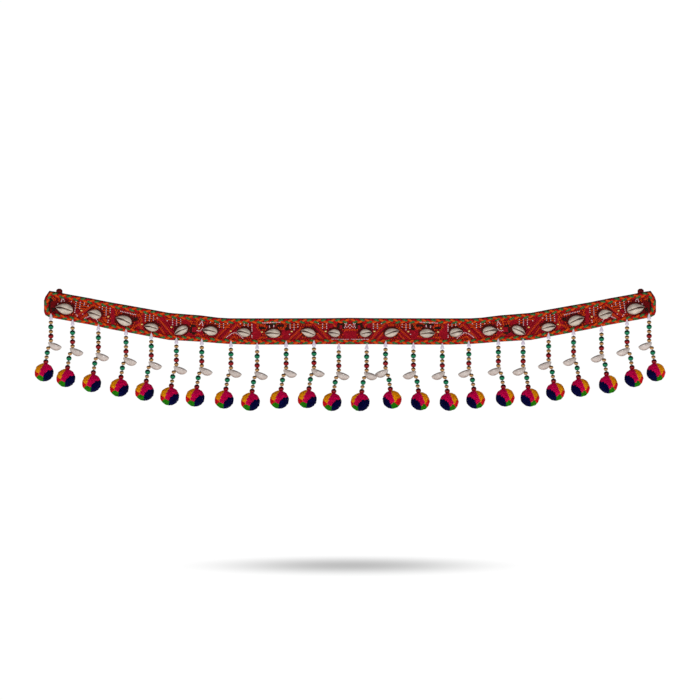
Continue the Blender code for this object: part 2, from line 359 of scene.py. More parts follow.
# %% [markdown]
# ## The cloth's finish
# The ground is crimson cotton, worked in darker red and orange. A plain weave is two sine waves that
# cross, and rows of stitches are the same at a larger size, broken up by noise. Along the top edge the
# cotton is painted a darker maroon as shade, from a value kept on the mesh.

# %% Cotton, worked all over
WEAVE_PITCH = 0.85
WEAVE_TURN = tau / (WEAVE_PITCH * MM)


def weave_of(finish):
    return (finish.axis("X") * WEAVE_TURN).wave() * (finish.axis("Z") * WEAVE_TURN).wave()


def cotton_finish():
    finish = Finish("crimson worked cotton")
    weave = weave_of(finish)
    rows = (finish.axis("Z") * (WEAVE_TURN * 0.31)).wave()
    dash = ((finish.axis("X") + finish.axis("Z") * 0.9) * (WEAVE_TURN * 0.36)).wave()
    worn = finish.noise(70, 4)
    orange = (dash * rows + worn * 1.3).steps(0.75, 1.2)
    ground = finish.blend(worn, (96, 8, 22), (158, 18, 38))
    worked = finish.blend(orange * 0.75, ground, (196, 52, 14))
    # painted shade: a darker maroon along the top edge
    colour = finish.blend(finish.kept_tone(0.25, 0.45), worked, (82, 4, 12))
    height = finish.relief(weave * 0.35 + dash * rows * 0.5 + worn, 0.3, 0.7)
    return finish.dull(colour, 0.78 + worn * 0.15, height)


def backing_finish():
    finish = Finish("plain maroon lining side")
    worn = finish.noise(45, 3)
    colour = finish.blend(worn, (58, 3, 12), (98, 10, 24))
    return finish.dull(colour, 0.9, finish.relief(weave_of(finish) * 0.6 + worn, 0.25, 0.6))


COTTON = cotton_finish()
BACKING = backing_finish()
print("finishes:", COTTON.name, "and", BACKING.name)

# %% [markdown]
# ## The cloth
# The cloth is a single sheet from edge to edge. A Solidify modifier gives it the thickness of two
# cottons with stiffening, and the faces at the back take the plain finish.

# %% Lay the cloth
CLOTH_STEP = 4
CLOTH_ROWS = 14


def band_places(longest):
    """Places along the whole band, none further apart than the longest step."""
    left_half = []
    for start, end in zip(OUTLINE_ROWS, OUTLINE_ROWS[1:]):
        count = ceil((end.place - start.place) / longest)
        left_half += [between(start.place, end.place, step / count) for step in range(count)]
    return left_half + [0] + [-place for place in reversed(left_half)]


def cloth_spot(place, share):
    top, bottom = outline(place)
    height = between(bottom, top, share)
    return place, cloth_middle(place, height), height


# painted shade along the top edge of the cloth: 1 on the top row, 0 elsewhere
def top_edge_shade(place, share):
    return int(share == 1)


shape = lay_grid(band_places(CLOTH_STEP), steps(0, 1, CLOTH_ROWS), cloth_spot, top_edge_shade)
if sum(face.normal.y for face in shape.faces) > 0:
    bmesh.ops.reverse_faces(shape, faces=shape.faces)
cloth = finish_piece("cloth", shape, [COTTON, BACKING], ["band"])
thickness = cloth.modifiers.new("two cottons and stiffening", "SOLIDIFY")
thickness.thickness = CLOTH_THICKNESS * MM
thickness.offset = 0
thickness.material_offset = 1
thickness.material_offset_rim = 1
print("cloth faces:", faces_of(cloth))

# %% [markdown]
# ## Thread and cord finishes
# Thread and cord are twisted, which a slanting wave on the strand's own map shows. A value on the mesh
# says how deep a cord lies in the plait, and there it is painted darker, as shade under its neighbours.

# %% Cords, tape and thread
def cord_finish(name, dark, light):
    finish = Finish(name)
    run = finish.node("UVMap", {"uv_map": "run"})
    twist = (finish.axis("X", run) * 700 + finish.axis("Y", run) * 12.6).wave()
    fibre = finish.noise(420, 3)
    colour = finish.blend((twist * 0.25 + fibre).steps(0.15, 0.8), dark, light)
    # painted shade: darker where the cord dives under its neighbours
    colour = finish.blend(finish.kept_tone(0.4, 1) * 0.8, colour, (46, 4, 6))
    return finish.dull(colour, 0.72, finish.relief(twist * 0.5 + fibre, 0.25, 0.8))


def thread_finish(name, dark, light):
    finish = Finish(name)
    fibre = finish.noise(900)
    colour = finish.blend(fibre.steps(0.3, 0.7), dark, light)
    return finish.dull(colour, 0.6, finish.relief(fibre, 0.15, 0.6))


PLAIT_CORDS = [
    cord_finish("green plaiting cord", (22, 74, 34), (84, 146, 80)),
    cord_finish("orange plaiting cord", (214, 48, 4), (255, 100, 16)),
    cord_finish("red plaiting cord", (146, 2, 6), (222, 10, 14)),
]
TAPE = cord_finish("maroon tape", (50, 4, 6), (134, 20, 20))
WHITE_THREAD = thread_finish("white cotton thread", (176, 164, 156), (226, 216, 208))
print("cords and threads:", len(PLAIT_CORDS) + 2)

# %% [markdown]
# ## The plaited edging
# Each of three cords swings in one long wave, a third of a turn behind the last. It rises and dips twice
# in that time, so it goes over one neighbour and under the other. The left half runs from the bottom
# middle round the end to the top middle, and the right half mirrors it.

# %% The path of the edging
PLAIT_WIDTH = 7.4
PLAIT_INSET = 0.3
# the thin dark line is the cloth's painted shade along its top edge
PLAIT_TOP_INSET = 1.1  # the cloth shows as a thin dark line above it
PLAIT_SWING = 2.05
PLAIT_RISE = 0.42
CORD_HALF_WIDTH = 1.75
CORD_HALF_HEIGHT = 0.78
PLAIT_REPEAT = 22.3
CORD_STEP = 1.4
CORD_SIDES = 8


def edging_corners():
    """The middle line of the edging's left half."""
    places = [place for place in band_places(CLOTH_STEP) if place <= 0]
    around = [Vector((place, outline(place)[1])) for place in reversed(places)]
    around += [Vector((place, outline(place)[0])) for place in places]
    ends = [Vector((CLOTH_STEP, end.y)) for end in (around[0], around[-1])]
    longer = [ends[0], *around, ends[1]]
    line = []
    for before, here, after in zip(longer, around, longer[2:]):
        first = (here - before).normalized()
        second = (after - here).normalized()
        inward = Vector((first.y + second.y, -first.x - second.x)).normalized()
        mitre = max(0.5, inward.dot(Vector((first.y, -first.x))))
        extra = (PLAIT_TOP_INSET - PLAIT_INSET) * max(0, -inward.y)
        line.append(here + inward * (PLAIT_INSET + extra + PLAIT_WIDTH / 2) / mitre)
    line[0].x = 0
    line[-1].x = 0
    return line


class Line:
    """A line through corners, which gives the spot at any length along it."""

    def __init__(self, corners):
        self.corners = corners
        sides = ((end - start).length for start, end in zip(corners, corners[1:]))
        self.marks = list(accumulate(sides, initial=0))
        self.length = self.marks[-1]

    def corner_spot(self, length):
        passed = bisect_right(self.marks, length) - 1
        low = min(max(passed, 0), len(self.marks) - 2)
        start, end = self.marks[low], self.marks[low + 1]
        return self.corners[low].lerp(self.corners[low + 1], (length - start) / (end - start))

    def spot(self, length, ease=3.5):
        """The spot, with the corners eased over a few millimetres."""
        ease = min(ease, length, self.length - length)
        around = [self.corner_spot(length + ease * part) for part in (-1, -0.5, 0, 0.5, 1)]
        return sum(around, Vector((0, 0))) / len(around)

    def ahead(self, length):
        low, high = max(0, length - 2.5), min(self.length, length + 2.5)
        return (self.spot(high) - self.spot(low)).normalized()


edging = Line(edging_corners())
print("edging round the left half, mm:", round(edging.length))

# %% Plait three cords along it
REPEATS = round(edging.length / PLAIT_REPEAT)


def cord_middle(length, turn):
    """The spot of a cord's middle on the cloth, and its height above it."""
    phase = tau * REPEATS * (length / edging.length - 1) + turn
    ahead = edging.ahead(length)
    spot = edging.spot(length) + Vector((-ahead.y, ahead.x)) * PLAIT_SWING * sin(phase)
    return spot, CORD_HALF_HEIGHT + PLAIT_RISE * (1 + sin(2 * phase))


def cord_shape(turn):
    def spot(length, around):
        here, height = cord_middle(length, turn)
        before, after = max(0, length - 0.4), min(edging.length, length + 0.4)
        run = cord_middle(after, turn)[0] - cord_middle(before, turn)[0]
        across = Vector((-run.y, run.x)).normalized() * CORD_HALF_WIDTH * cos(around)
        above = height + CORD_HALF_HEIGHT * sin(around)
        place, rise = here.x + across.x, here.y + across.y
        return min(place, 0), cloth_front(place, rise) - SEAT_GAP - above, rise

    # how deep the cord lies, which its finish turns into painted shade
    def depth(length, around):
        return 1 - (cord_middle(length, turn)[1] - CORD_HALF_HEIGHT) / (2 * PLAIT_RISE)

    lengths = steps(0, edging.length, round(edging.length / CORD_STEP))
    return lay_grid(lengths, steps(0, tau, CORD_SIDES), spot, depth)


shape = bmesh.new()
for number in range(len(PLAIT_CORDS)):
    add_copy(shape, as_pattern(cord_shape(tau * number / 3)), Matrix.Identity(4), number)
everything = shape.verts[:] + shape.edges[:] + shape.faces[:]
bmesh.ops.mirror(shape, geom=everything, axis="X", merge_dist=0.001 * MM)
face_outward(shape)
plait = finish_piece("plait", shape, PLAIT_CORDS, ["braid"])
print("plait faces:", faces_of(plait))

# %% [markdown]
# ## The hanging loops
# A strip of maroon tape is sewn behind each end, so that it stands up over the edge for a nail. It is a
# flat tube bent into a long ring, narrower at the top.

# %% Bend the tape
LOOP_PLACE = 456.6
TAPE_THICKNESS = 1.2
LOOP_RADIUS = 2.9
LOOP_MIDDLE = 3.5  # behind the back of the cloth
LOOP_LEGS = (-8.7, 2.6)  # heights above the cloth's edge between which the legs are straight
LOOP_WIDTHS = (9.6, 4.6)


def loop_shape(place):
    edge = outline(place)[0]
    back = fold(place) + CLOTH_THICKNESS / 2 + SEAT_GAP

    def spot(share, around):
        angle = tau * share / 100
        out = Vector((cos(angle), sin(angle)))
        straight = LOOP_LEGS[1] if out.y > 0 else LOOP_LEGS[0]
        pinch = max(0, out.y) ** 2.4
        half = between(LOOP_WIDTHS[0], LOOP_WIDTHS[1], pinch) / 2
        thick = eased(sin(around), 0.6) * TAPE_THICKNESS / 2
        wide = eased(cos(around), 0.45) * half
        ring = out * (LOOP_RADIUS + thick)
        return place + wide, back + LOOP_MIDDLE + ring.x, edge + straight + ring.y

    ring_steps = [share for share in steps(0, 100, 40) if share != 50]
    stops = sorted(ring_steps + [0.01, 49.99, 50.01, 99.99])  # the two legs are straight between these
    return lay_grid(stops, steps(0, tau, 20), spot)


loops = [
    finish_piece(f"hanging_loop_{end}", loop_shape(side * LOOP_PLACE), [TAPE], [f"loop_{end}"])
    for end, side in (("left", LEFT), ("right", RIGHT))
]
print("loop faces:", faces_of(*loops))

# %% [markdown]
# ## Cowries
# A cowrie is an egg-shaped shell with a toothed slit. Those on the band have their backs cut away, so
# that they lie flat. The grid is rolled about the long axis, with the slit pressed in. The finish is
# brown and darker deep in the slit, the slit's own brown with painted shade in the opening. The edges
# that face up or down are painted browner as shade, and the back is browner towards its crest.

# %% The finish of a cowrie
def cowrie_finish(name, light, dark, rim_shade, rough, coat, relief):
    finish = Finish(name)
    cloud = finish.noise(120)
    grain = finish.noise(700)
    cream = finish.blend(cloud.steps(0.3, 0.7), light, dark)
    # painted shade: the edges that face up or down are darker
    up = finish.upward()
    rim_shaded = finish.blend((up * up).steps(0.15, 0.9) * rim_shade, cream, (128, 98, 74))
    # the back's own stain, and the slit's brown with painted shade in it
    stain_and_slit_shade = finish.blend(finish.kept_tone(0.12, 0.6), rim_shaded, (110, 74, 56))
    # painted shade deep in the slit's opening
    colour = finish.blend(finish.kept_tone(0.5, 0.95), stain_and_slit_shade, (52, 14, 10))
    height = finish.relief(cloud + grain * 0.3, relief, 0.5)
    return finish.done(colour, grain * 0.2 + rough, coat_weight=coat, normal=height)


COWRIE = cowrie_finish("sewn cowrie", (236, 218, 200), (198, 182, 167), 0.25, 0.3, 0.2, 0.08)
POLISHED_COWRIE = cowrie_finish("polished cowrie", (231, 216, 207), (207, 191, 181), 0.5, 0.12, 1, 0.01)
print("finishes:", COWRIE.name, "and", POLISHED_COWRIE.name)

# %% Roll a cowrie
Cowrie = namedtuple("Cowrie", "length width front back rows")
TEETH = 13


def cowrie_shape(shell):
    """A cowrie along X from its narrow end at 0, with its slit towards -Y."""

    def half_width(along):
        ends = max(0, sin(pi * along))
        return shell.width / 2 * min(1, 1.06 * ends ** (0.8 - 0.3 * along) * (0.72 + 0.42 * along))

    def body(along):
        return max(0, sin(pi * along)) ** 0.4 * (0.95 + 0.1 * along)

    def hump(along):
        return max(0, sin(pi * along ** 1.2)) ** 0.52

    def groove(along, across):
        line = shell.width * 0.05 * sin(pi * (along - 0.1) * 1.7)
        teeth = 1 + 0.22 * cos(tau * TEETH * along)
        spread = shell.width * (0.05 + 0.055 * exp(-((along - 0.2) / 0.18) ** 2)) * teeth
        ends = min(1, 14 * along, 14 * (1 - along))
        return exp(-((across - line) / spread) ** 2) * ends

    def parts(along, around):
        angle = pi * eased(around, 1.45)
        across = half_width(along) * sin(angle)
        return angle, across

    def spot(along, around):
        angle, across = parts(along, around)
        facing = cos(angle)
        if facing <= 0:
            return along * shell.length, -shell.back * hump(along) * facing, across
        lip = 0.05 * exp(-((abs(across) / shell.width - 0.13) / 0.07) ** 2)
        rise = facing ** 0.8 + lip - 0.34 * groove(along, across)
        return along * shell.length, -shell.front * body(along) * rise, across

    def shade(along, around):
        angle, across = parts(along, around)
        facing = cos(angle)
        if facing <= 0:
            return 0.45 * (-facing) ** 3
        # the slit: its own brown, with painted shade where it is deepest
        return groove(along, across) * (1 - 0.3 * min(1, max(0, 2.5 * along - 0.8)))

    alongs = [(1 - cos(pi * share)) / 2 for share in steps(0, 1, shell.rows)]
    return lay_grid(alongs, steps(-1, 1, 30), spot, shade)


# %% Sew the cowries on
SEWN_ROWS = table(
    "length width tilt",
    (28, 17, -12), (22, 15, -14), (26.4, 16, -20), (22.9, 12.9, -10), (23, 13.6, 28), (23.1, 14.6, -8),
    (21, 13.8, -10), (23.7, 14.2, 0), (23.4, 13.8, -15), (18.8, 12.6, -6),
)
SHELL_DOME = 0.27
SHELL_FLAT = 0.1
# the dark stitches round them are a painted shadow
left_shells = []  # where those of the left half are, for the stitches round them
for number, row in enumerate((*SEWN_ROWS, *reversed(SEWN_ROWS)), 1):
    side = RIGHT if number <= len(SEWN_ROWS) else LEFT
    node = f"shell_{number:02d}"
    low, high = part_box(node)
    middle = (low + high) / 2 / MM
    dome = SHELL_DOME * row.length
    shape = cowrie_shape(Cowrie(row.length, row.width, dome, SHELL_FLAT * dome, 44))
    tilt = Matrix.Rotation(-side * radians(row.tilt), 4, "Y")
    shape.transform(Matrix.Translation((-row.length / 2 * MM, 0, 0)))
    if side == LEFT:
        face_the_other_way(shape)
    if middle.x < 0:
        left_shells.append((middle, row))
    shape.transform(Matrix.Rotation(fold_turn(middle.x), 4, "Z") @ tilt)
    across = middle_of(corner.co.x for corner in shape.verts)
    up = middle_of(corner.co.z for corner in shape.verts)
    depth = fold(middle.x) - CLOTH_THICKNESS / 2 - SEAT_GAP - SHELL_FLAT * dome
    shape.transform(Matrix.Translation(Vector((middle.x, depth, middle.z)) * MM - Vector((across, 0, up))))
    finish_piece(f"cowrie_{number:02d}", shape, [COWRIE], [node])

# %% [markdown]
# ## Where each string hangs
# The highest corners of a drop are the tip of its glass bead, so their middle is the place of the
# string, and its ball hangs a fixed length below. The strings of the left half have their shell to the
# right, the others to the left.

# %% Read the strings from the frame
String = namedtuple("String", "node side turn place depth ball_height")
STRINGS = 24
GLASS_TOP = 93.4  # above the middle of the ball
GLASS_RADIUS = 3.1
GLASS_TIP = 0.8
TIP_REACH = 0.05  # corners this near the top belong to the tip
TURNED = {"drop_13": -15, "drop_14": -15}  # these two have turned, so that their shells pass
DROPS_POINTING_RIGHT = 13


def read_string(number):
    node = f"drop_{number:02d}"
    corners = [corner.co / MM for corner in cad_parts[node].data.vertices]
    top = max(corner.z for corner in corners)
    tip = [corner for corner in corners if corner.z > top - TIP_REACH]
    turn = radians(TURNED.get(node, 0))
    back = GLASS_RADIUS - GLASS_TIP
    place = middle_of(corner.x for corner in tip) + back * sin(turn)
    depth = middle_of(corner.y for corner in tip) - back * cos(turn)
    side = RIGHT if number <= DROPS_POINTING_RIGHT else LEFT
    return String(node, side, turn, place, depth, top - GLASS_TOP)


strings = [read_string(number) for number in range(1, STRINGS + 1)]
print("strings:", len(strings), "from", round(strings[0].place), "to", round(strings[-1].place))


def hang(string):
    """Takes a shape made round the middle of the ball to its string."""
    seat = Vector((string.place, string.depth, string.ball_height)) * MM
    return Matrix.Translation(seat) @ Matrix.Rotation(string.turn, 4, "Z")


def by_side(make):
    return {side: make(side) for side in (LEFT, RIGHT)}


def strung(patterns, hung_on):
    """The pattern of its side on each of the strings."""
    whole = bmesh.new()
    for string in hung_on:
        add_copy(whole, patterns[string.side], hang(string))
    return whole


def on_each_string(name, patterns, finishes):
    """A piece of its own on each string, from the pattern of its side."""
    return [
        finish_piece(f"{name}_{number:02d}", strung(patterns, [string]), finishes, [string.node])
        for number, string in enumerate(strings, 1)
    ]


# %% [markdown]
# ## Glass and pearly beads
# Clear coloured beads gather light in their lower half, and stay nearly black above. The finish paints
# this light and shade from the way the surface faces, up or down. The milky glass is given a faint
# glow, painted light standing in for light that comes through it from behind.

# %% Bead finishes
def bead_finish(name, dark, deep, bright):
    finish = Finish(name)
    # painted light and shade: dark where the surface faces up, bright lower down
    up = finish.upward() + finish.noise(500, 1) * 0.2
    lower = finish.blend(up.steps(-0.75, -0.2), deep, bright)
    colour = finish.blend(up.steps(0.05, 0.5), lower, dark)
    return finish.done(colour, 0.12, specular_ior_level=0.2, coat_weight=0.1, coat_roughness=0.05)


GREEN_BEAD = bead_finish("green bead", (0, 46, 30), (0, 78, 50), (0, 138, 90))
RED_BEAD = bead_finish("red bead", (64, 0, 8), (96, 0, 8), (166, 4, 16))
GOLD_BEAD = bead_finish("gold bead", (84, 48, 16), (132, 90, 46), (216, 164, 102))
SEWN_GOLD_BEAD = bead_finish("bright bead", (150, 90, 24), (226, 160, 70), (255, 224, 140))
glass = Finish("milky lilac glass")
lilac = glass.blend(glass.noise(260), (210, 202, 209), (186, 178, 190))
# painted light: a faint glow standing in for light that comes through the glass from behind
glow = {"emission_color": (240, 228, 250), "emission_strength": 0.3}
GLASS = glass.done(lilac, 0.3, coat_weight=0.4, coat_roughness=0.05, **glow)
print("bead finishes: green, red, gold and glass")

# %% [markdown]
# ## Threading the beads
# A bead is a curved outline spun about the string, with a small hole at each end. One of each size is
# spun and copied to the strings, and all beads of one colour are one piece.

# %% Spin one bead
BEAD_ROWS = table(
    "bead height swing radius",
    ("gold", 78.3, 0, 3.55), ("green", 71.2, 0, 4.3), ("gold", 63.9, 0, 3.55), ("red", 56.8, 0, 4.3),
    ("gold", 49.9, 0, 3.55), ("gold", 38, 4.1, 3.4), ("green", 30.8, 5.7, 4.25),
    ("gold", 23.7, 6.7, 3.4), ("red", 16.6, 7.8, 4.25),
)
BEAD_HOLE = 0.16  # as a share of its radius
Form = namedtuple("Form", "flat bulge")  # height as a share of width, and 1 for round or less for a barrel
BEAD_FORMS = {"gold": Form(0.8, 0.72), "green": Form(0.98, 1), "red": Form(0.98, 1)}


def spun_bead(radius, form, around=18, up=9):
    shape = bmesh.new()
    edge = asin(BEAD_HOLE)
    angles = steps(edge, pi - edge, up)
    line = [shape.verts.new((sin(angle) ** form.bulge, 0, cos(angle))) for angle in angles]
    rims = [shape.edges.new(pair) for pair in zip(line, line[1:])]
    inside = shape.edges.new((line[-1], line[0]))
    whole_turn = {"axis": (0, 0, 1), "cent": (0, 0, 0), "angle": tau, "steps": around}
    bmesh.ops.spin(shape, geom=line + rims + [inside], use_merge=True, **whole_turn)
    bmesh.ops.remove_doubles(shape, verts=shape.verts, dist=0.0001)
    bmesh.ops.scale(shape, vec=Vector((radius, radius, radius * form.flat)) * MM, verts=shape.verts)
    face_outward(shape)
    return as_pattern(shape)


def threaded(colour):
    """All the beads of one colour on all the strings."""
    whole = bmesh.new()
    for row in (row for row in BEAD_ROWS if row.bead == colour):
        bead = spun_bead(row.radius, BEAD_FORMS[colour])
        for string in strings:
            add_copy(whole, bead, hang(string) @ at(-string.side * row.swing, 0, row.height))
    return whole


drop_nodes = [string.node for string in strings]
for colour, finish in (("green", GREEN_BEAD), ("red", RED_BEAD), ("gold", GOLD_BEAD)):
    beads = finish_piece(f"{colour}_beads", threaded(colour), [finish], drop_nodes, 60)
    print(colour, "bead faces:", faces_of(beads))

# %% [markdown]
# ## Glass drops and threads
# At the top of each string is a long glass bead like a bell, which leans on the edging. A thin white
# thread runs from the edging through every bead to the ball.

# %% Roll the glass drops and the threads
GLASS_ROWS = table(
    "height radius",
    (91.6, 0.25), (91.5, 0.8), (90.2, 1.2), (88.4, 1.75), (86.4, 2.5), (84.8, 3), (83.5, 3.2),
    (82.6, 3.1), (82.1, 2.6), (82, 1.4), (82.2, 0.25),
)
THREAD_RADIUS = 0.5
THREAD_STOPS = ((3.6, 92.8), (GLASS_RADIUS - GLASS_TIP, 91.4), (0.2, 82.4))  # in the edging and the glass
THREAD_END = 9.2  # in the ball


def glass_pattern(side):
    def spot(row, around):
        ring = GLASS_ROWS[round(row)]
        lean = min(GLASS_RADIUS - ring.radius, GLASS_RADIUS - GLASS_TIP)
        return ring.radius * cos(around), lean + ring.radius * sin(around), ring.height

    return as_pattern(lay_grid(range(len(GLASS_ROWS)), steps(0, tau, 18), spot))


def thread_pattern(side):
    stops = [Vector((0, back, height)) for back, height in THREAD_STOPS]
    stops += [Vector((-side * row.swing, 0, row.height)) for row in BEAD_ROWS]
    stops += [Vector((-side * THREAD_END, 0, THREAD_END))]

    def spot(row, around):
        out = Vector((cos(around), sin(around), 0))
        return stops[round(row)] + out * THREAD_RADIUS

    return as_pattern(lay_grid(range(len(stops)), steps(0, tau, 6), spot))


drops = strung(by_side(glass_pattern), strings)
threads = strung(by_side(thread_pattern), strings)
glass_drops = finish_piece("glass_drops", drops, [GLASS], drop_nodes, 60)
bead_threads = finish_piece("bead_threads", threads, [WHITE_THREAD], drop_nodes)
print("glass and thread faces:", faces_of(glass_drops, bead_threads))

# %% [markdown]
# ## The hanging cowries
# Half way down each string a whole cowrie hangs by its narrow end, slit up and hump down. It is the same
# rolled shape with a deep back.

# %% Hang a cowrie on each string
PENDANT_START = (46.5, -4.4)  # its height and its distance from the string
PENDANT_DROP = 20.4  # degrees
PENDANT = Cowrie(22.7, 12.6, 3.1, 8.1, 30)


def pendant_pattern(side):
    shape = cowrie_shape(PENDANT)
    shape.transform(Matrix.Rotation(radians(-90), 4, "X"))
    start = Matrix.Translation(Vector((PENDANT_START[1], 0, PENDANT_START[0])) * MM)
    shape.transform(start @ Matrix.Rotation(radians(PENDANT_DROP), 4, "Y"))
    if side == LEFT:
        face_the_other_way(shape)
    return as_pattern(shape)


pendants = on_each_string("pendant", by_side(pendant_pattern), [POLISHED_COWRIE])
print("hanging cowries:", len(pendants), "faces:", faces_of(*pendants))

# %% [markdown]
# ## Wool
# Five colours of yarn were wound one after the other, so each takes its own part of the ball. The colour
# wanders from fibre to fibre, with hardly any gloss.

# %% Five colours of wool
def wool_finish(name, dark, light):
    finish = Finish(name)
    fibre = finish.noise(650, 3)
    shadow = finish.noise(190)
    colour = finish.blend((fibre * 0.6 + shadow * 0.6).steps(0.35, 0.8), dark, light)
    return finish.dull(colour, 0.95, finish.relief(fibre + shadow * 0.5, 0.4, 0.5), DRY / 2)


WOOL = [
    wool_finish("magenta wool", (198, 0, 66), (240, 4, 94)),
    wool_finish("navy wool", (0, 0, 40), (4, 8, 74)),
    wool_finish("yellow wool", (255, 144, 0), (255, 178, 8)),
    wool_finish("green wool", (22, 108, 2), (46, 150, 8)),
    wool_finish("red wool", (206, 8, 18), (246, 24, 40)),
]
MAGENTA, NAVY, YELLOW, GREEN, RED = range(5)
print("colours of wool:", len(WOOL))

# %% [markdown]
# ## The clipped ball
# The surface is yarn ends, each a short tuft that widens to a clipped tip, spread with the turn that
# seeds take in a sunflower. The colours meet at two points: navy parts from the others at the lower one,
# and the rest fan out from the left one.

# %% Tuft the balls
BALL_RADIUS = 14.5
BALL_SWING = 10.6
CORE_SHARE = 0.86
TUFTS = 700
TUFT_LENGTH = 3.4
GOLDEN_TURN = pi * (3 - 5 ** 0.5)
NAVY_POINT = Vector((-0.08, -0.42))
FAN_POINT = Vector((-0.48, -0.26))
FAN_LIMITS = ((134, YELLOW), (229, RED), (324, GREEN), (360, MAGENTA))
BALL_SQUASH = (1.015, 1, 0.975)


def direction(way):
    return degrees(atan2(way.y, way.x)) % 360


def wool_colour(across, up):
    """The colour at a spot on the ball, in ball radii to the right and up."""
    away = Vector((across, up)) - NAVY_POINT
    if direction(away) > 268 or direction(away) < 72 - 28 * away.length:
        return NAVY
    away = Vector((across, up)) - FAN_POINT
    if direction(away) < 84 - 12 * away.length:
        return MAGENTA
    return next(colour for limit, colour in FAN_LIMITS if direction(away) <= limit)


def ball_pattern(side):
    shape = bmesh.new()
    bmesh.ops.create_icosphere(shape, subdivisions=3, radius=BALL_RADIUS * CORE_SHARE * MM)
    for face in shape.faces:
        way = face.calc_center_median().normalized()
        face.material_index = wool_colour(side * way.x, way.z)
    whole = bmesh.new()
    add_copy(whole, as_pattern(shape), Matrix.Identity(4))
    for number in range(TUFTS):
        up = 1 - 2 * (number + 0.5) / TUFTS
        flat = (1 - up * up) ** 0.5
        way = Vector((flat * cos(GOLDEN_TURN * number), flat * sin(GOLDEN_TURN * number), up))
        way = (way + Vector([chance.uniform(-0.03, 0.03) for _ in range(3)])).normalized()
        lump = sin(7 * way.x + 3 * way.z) * cos(6 * way.y - 8 * way.z)
        reach = BALL_RADIUS * (1 + 0.03 * lump) + chance.uniform(-0.45, 0.3)
        tuft = bmesh.new()
        ends = {"radius1": 0.7 * MM, "radius2": 1.3 * MM, "depth": TUFT_LENGTH * MM}
        bmesh.ops.create_cone(tuft, cap_ends=True, segments=5, **ends)
        seat = Matrix.Translation(way * (reach - TUFT_LENGTH / 2) * MM)
        out = way.to_track_quat("Z", "Y").to_matrix().to_4x4()
        turn = Matrix.Rotation(chance.uniform(0, tau), 4, "Z")
        add_copy(whole, as_pattern(tuft), seat @ out @ turn, wool_colour(side * way.x, way.z))
    middle = Matrix.Translation((-side * BALL_SWING * MM, 0, 0))
    whole.transform(middle @ Matrix.Diagonal((*BALL_SQUASH, 1)))
    return as_pattern(whole)


balls = on_each_string("wool_ball", by_side(ball_pattern), WOOL)
print("wool balls:", len(balls), "faces:", faces_of(*balls))

# %% [markdown]
# ## Embroidery threads and small beads
# Flat stitches cover the ground, thicker orange ones draw the figures, and tiny beads are sewn over
# them. Each is a small mesh, copied to its place on the cloth.

# %% Threads for the embroidery
STITCH_THREADS = [
    thread_finish("crimson thread", (150, 4, 28), (200, 16, 42)),
    thread_finish("dark red thread", (96, 0, 6), (138, 4, 12)),
    thread_finish("orange thread", (208, 48, 2), (248, 94, 14)),
    thread_finish("black green thread", (8, 12, 8), (40, 36, 24)),
]
LETTERS = "cdok"  # crimson, dark red, orange and black green, as the charts below call them


seed = Finish("pale pink seed bead")
pinks = seed.blend(seed.noise(800, 1), (232, 164, 178), (255, 226, 230))
SEED = seed.done(pinks, 0.25, coat_weight=0.5)
print("embroidery threads:", len(STITCH_THREADS))

# %% One stitch and two beads
STITCH_RISE = 0.32
SEED_RADIUS = 1
SEWN_GOLD_RADIUS = 1.8


def round_bead(radius, around, up):
    shape = bmesh.new()
    bmesh.ops.create_uvsphere(shape, u_segments=around, v_segments=up, radius=radius * MM)
    return as_pattern(shape)


shape = bmesh.new()
bmesh.ops.create_cube(shape, size=1 * MM)
STITCH = as_pattern(shape)  # a cube, which smooth shading turns into a little cushion
THICK_STITCH = round_bead(0.5, 6, 5)
SEED_BEAD = round_bead(SEED_RADIUS, 8, 5)
SEWN_GOLD = round_bead(SEWN_GOLD_RADIUS, 10, 6)


def put_stitch(whole, stitch, spot, way, thread, size, above=0):
    """One stitch on the face of the cloth, with its middle at the spot, along the way."""
    front = cloth_front(spot.x, spot.y) - above
    size = (size[0], 2 * STITCH_RISE, size[1])
    add_copy(whole, stitch, at(spot.x, front, spot.y, atan2(way.y, way.x), size), thread)


def on_band(name, shape, finishes=STITCH_THREADS):
    return finish_piece(name, shape, finishes, ["band"])


def both_halves(lines):
    """Each line on the left half and, the other way round, on the right half."""
    for line in lines:
        yield line
        yield [(-place, height) for place, height in line]


def along_trail(corners, pitch):
    """Spots a pitch apart along a line, each with the way that the line runs there."""
    line = Line([Vector(corner) for corner in corners])
    count = max(1, round(line.length / pitch))
    places = [line.length * (step + 0.5) / count for step in range(count)]
    spots = [line.corner_spot(place) for place in places]
    ahead = [line.corner_spot(place + 0.01) for place in places]
    return [(spot, further - spot) for spot, further in zip(spots, ahead)]


print("stitch faces:", len(STITCH.polygons), "seed bead faces:", len(SEED_BEAD.polygons))
